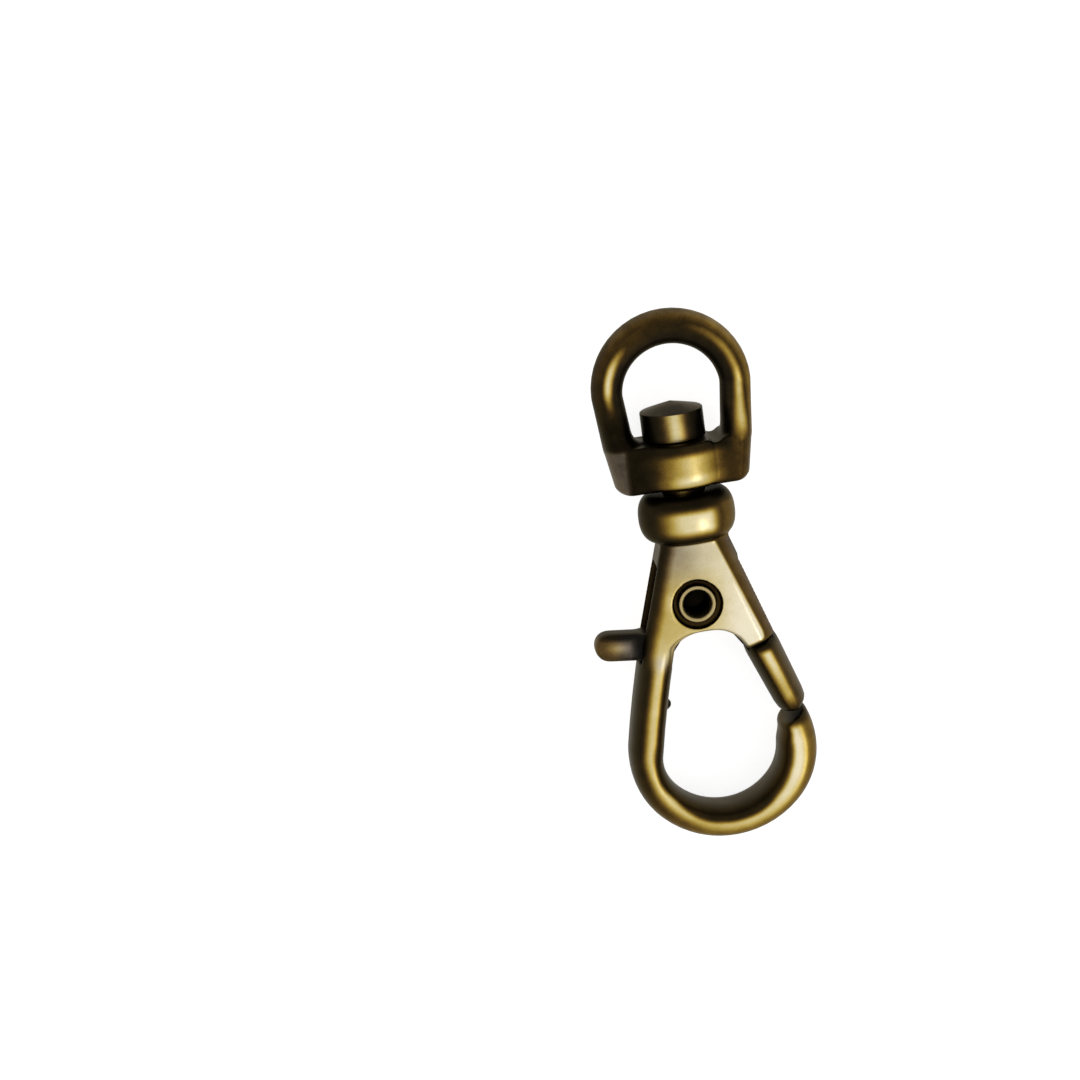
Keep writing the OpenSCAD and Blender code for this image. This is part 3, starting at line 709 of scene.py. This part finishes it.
def make_spring(material):
    """The torsion spring: a round wire carried down a leg, round its turns, and out along the other leg.

    The coil is the helix (r cos a, r sin a, falling by one pitch a turn), and the wire's ring at each
    point lies across the path.
    """
    wire = 0.16
    coil_r = 1.5
    z_low, z_high = SPRING_LOW[2] + wire, SPRING_HIGH[2] - wire
    turn = math.radians(680)
    angle = np.linspace(0, -turn, 150)
    fall = (z_high - z_low) * angle / turn
    coil = np.stack([coil_r * np.cos(angle), coil_r * np.sin(angle), z_high + fall], -1)
    rise_to = SPRING_HIGH[1] - PIVOT[1]
    down = np.linspace(rise_to, 0.1, 8)[:, None] * np.array([0, 1, 0]) + np.array([coil_r, 0, z_high])
    way = np.array([math.cos(math.radians(-50)), math.sin(math.radians(-50)), 0])
    out = coil[-1] + np.linspace(0.15, 3.1, 12)[:, None] * way
    path = np.concatenate([down, coil, out]) + np.array([PIVOT[0], PIVOT[1], 0])
    way_on = np.gradient(path, axis=0)
    way_on /= np.linalg.norm(way_on, axis=1, keepdims=True)
    side = np.cross(way_on, [0, 0, 1.0])
    side /= np.linalg.norm(side, axis=1, keepdims=True)
    over = np.cross(side, way_on)
    t = np.linspace(0, 2 * np.pi, 12, endpoint=False)[None, :, None]
    rings = path[:, None] + wire * (np.cos(t) * side[:, None] + np.sin(t) * over[:, None])
    points = np.concatenate([rings.reshape(-1, 3), path[[0, -1]]])
    piece = new_piece("spring", points, ring_faces(len(path), 12))
    finish_piece(piece, "torsion_spring", material)
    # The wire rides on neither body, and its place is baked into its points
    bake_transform(piece)


def spring_steel():
    """Drawn steel wire with a dull grey skin and fine brighter scuffs."""
    material = bpy.data.materials.new("spring_steel")
    material.use_nodes = True
    tree = material.node_tree
    metal = tree.nodes["Principled BSDF"]
    metal.inputs["Metallic"].default_value = 1.0
    place = tree.nodes.new("ShaderNodeTexCoord")
    scuffs = noise_node(tree, place.outputs["Object"], 6000, 3, 0.6)
    ramp = tree.nodes.new("ShaderNodeValToRGB")
    ramp.color_ramp.elements[0].color = (0.12, 0.115, 0.11, 1)
    ramp.color_ramp.elements[1].color = (0.34, 0.335, 0.32, 1)
    tree.links.new(scuffs, ramp.inputs["Fac"])
    tree.links.new(ramp.outputs["Color"], metal.inputs["Base Color"])
    rough = math_node(tree, "ADD", math_node(tree, "MULTIPLY", scuffs, 0.2), 0.25)
    tree.links.new(rough, metal.inputs["Roughness"])
    return material


def round_tab(mesh):
    """Rounds the thumb tab's square section and blunt end into those of a finger.

    In the tab's own frame a is the way from its middle line, round its end as well, and b the depth,
    both 1 at the faces. Each point moves towards the middle by max(a, b) / (a^p + b^p)^(1/p), where the
    power p of 3.4 leaves it a little square.
    """
    points = points_of(mesh)
    cos, sin = math.cos(TAB_RISE), math.sin(TAB_RISE)
    x, y = (points[:, :2] - TAB_MIDDLE).T
    along = x * cos - y * sin
    over = x * sin + y * cos
    past = np.minimum(along, 0)
    a, b = np.hypot(past, over), np.abs(points[:, 2]) / TAB_HALF_D
    power = 3.4
    ratio = np.maximum(a, b) / np.maximum((a**power + b**power) ** (1 / power), 1e-6)
    ratio = mixed(1, ratio, 1 - rise(along, 1.7, 2.6))
    along = np.maximum(along, 0) + past * ratio
    over = over * ratio
    points[:, 0] = TAB_MIDDLE[0] + along * cos + over * sin
    points[:, 1] = TAB_MIDDLE[1] - along * sin + over * cos
    points[:, 2] *= ratio
    mesh.vertices.foreach_set("co", (points * MM).ravel())
    mesh.update()


def near_opening_corner(points):
    """The opening's upper left corner, in front of the slot and behind it."""
    away = np.hypot(points[:, 0] + 3.4, points[:, 1] - 7.9)
    return hill(away, 0, 0.9) * rise(np.abs(points[:, 2]), 1.4, 1.8)


def on_tab(points):
    """The thumb tab, from its root outwards."""
    return 1 - rise(points[:, 0], -4.2, -3.2)


def near_scoop(points):
    """The scoop beside the eye's right leg."""
    return hill(np.hypot(points[:, 0] - 2.9, points[:, 1] - BASE_TOP - 0.6), 0, 0.7)


def make_castings(patina):
    """The three castings: hook, gate lever and swivel eye, with some places eased more than the rest."""
    hook = skin("hook_casting", "hook_body", HOOK_VOXEL, 6, near_opening_corner, 48)
    set_shine_and_dull(hook, hook_wear_and_light)
    brass = antique_brass("hook_brass", patina, 0.16, 0.1, 0.25)
    finish_piece(hook, "hook_body", brass, "hook")

    gate = skin("gate_casting", "gate_lever", GATE_VOXEL, 6, on_tab, 30)
    round_tab(gate.data)
    set_shine_and_dull(gate, gate_wear_and_light)
    brass = antique_brass("gate_brass", patina, 0.2, 0.12, 0.3)
    finish_piece(gate, "gate_lever", brass, "gate")

    eye = skin("eye_casting", "swivel_eye", EYE_VOXEL, 7, near_scoop, 60)
    set_shine_and_dull(eye, eye_wear_and_light)
    brass = antique_brass("eye_brass", patina, 0.22, 0.12, 0.3)
    finish_piece(eye, "swivel_eye", brass, "eye")


# ---- Stage


def seen_rays(tree):
    """1 where the camera, a mirror or glass looks, and 0 for all other light."""
    rays = tree.nodes.new("ShaderNodeLightPath").outputs
    seen = math_node(tree, "ADD", rays["Is Camera Ray"], rays["Is Glossy Ray"], clamp=True)
    return math_node(tree, "ADD", seen, rays["Is Transmission Ray"], clamp=True)


def make_world(diffuse_strength):
    """A white surround: full white where it is seen or mirrored, softer where it only lights."""
    world = bpy.data.worlds.new("white_surround")
    bpy.context.scene.world = world
    world.use_nodes = True
    tree = world.node_tree
    background = tree.nodes["Background"]
    background.inputs["Color"].default_value = (1, 1, 1, 1)
    extra = math_node(tree, "MULTIPLY", seen_rays(tree), 1 - diffuse_strength)
    strength = math_node(tree, "ADD", extra, diffuse_strength)
    tree.links.new(strength, background.inputs["Strength"])


def make_floor():
    """A wide white sheet under the collar and the bow, which keeps the hook's soft shadow."""
    collar_y, collar_z = CHEEK_TOP + COLLAR_H / 2, HOOK_LOW[2]
    bow_y, bow_z = HOOK_LOW[1] + 0.6, -2.45
    slope = (collar_z - bow_z) / (collar_y - bow_y)
    reach, air = 400.0, 0.01
    x, y = np.meshgrid([-reach, reach], [-reach, reach])
    z = collar_z + slope * (y - collar_y) - air
    points = np.stack([x.ravel(), y.ravel(), z.ravel()], -1)
    floor = new_piece("floor", points, [[0, 1, 3, 2]])
    material = bpy.data.materials.new("white_sheet")
    material.use_nodes = True
    tree = material.node_tree
    paper = tree.nodes["Principled BSDF"]
    paper.inputs["Base Color"].default_value = (0.85, 0.85, 0.85, 1)
    paper.inputs["Roughness"].default_value = 1.0
    paper.inputs["Specular IOR Level"].default_value = 0.0
    paper.inputs["Emission Color"].default_value = (1, 1, 1, 1)
    glow = math_node(tree, "MULTIPLY", seen_rays(tree), 0.8)
    tree.links.new(glow, paper.inputs["Emission Strength"])
    floor.data.materials.append(material)


def make_lamp(name, direction, distance, size, power):
    """A round soft lamp that looks at the pivot from the given direction."""
    data = bpy.data.lights.new(name, "AREA")
    data.shape = "DISK"
    data.size = size
    data.energy = power
    lamp = bpy.data.objects.new(name, data)
    bpy.context.scene.collection.objects.link(lamp)
    way = Vector(direction).normalized()
    lamp.location = Vector(PIVOT * MM) + way * distance
    lamp.rotation_mode = "QUATERNION"
    lamp.rotation_quaternion = way.to_track_quat("Z", "Y")


place_camera()
patina_group = build_patina_group()
make_castings(patina_group)
make_rivet(antique_brass("rivet_brass", patina_group, 0.12, 0.1, 0.15))
make_stud(antique_brass("stud_brass", patina_group, 0.2, 0.15, 0.2))
make_spring(spring_steel())
make_world(0.5)
make_floor()
make_lamp("key", (0.5, -0.35, 0.8), 0.3, 0.11, 0.06)
make_lamp("fill", (-0.6, 0.5, 0.7), 0.4, 0.2, 0.03)

bpy.context.scene.view_settings.view_transform = "Standard"
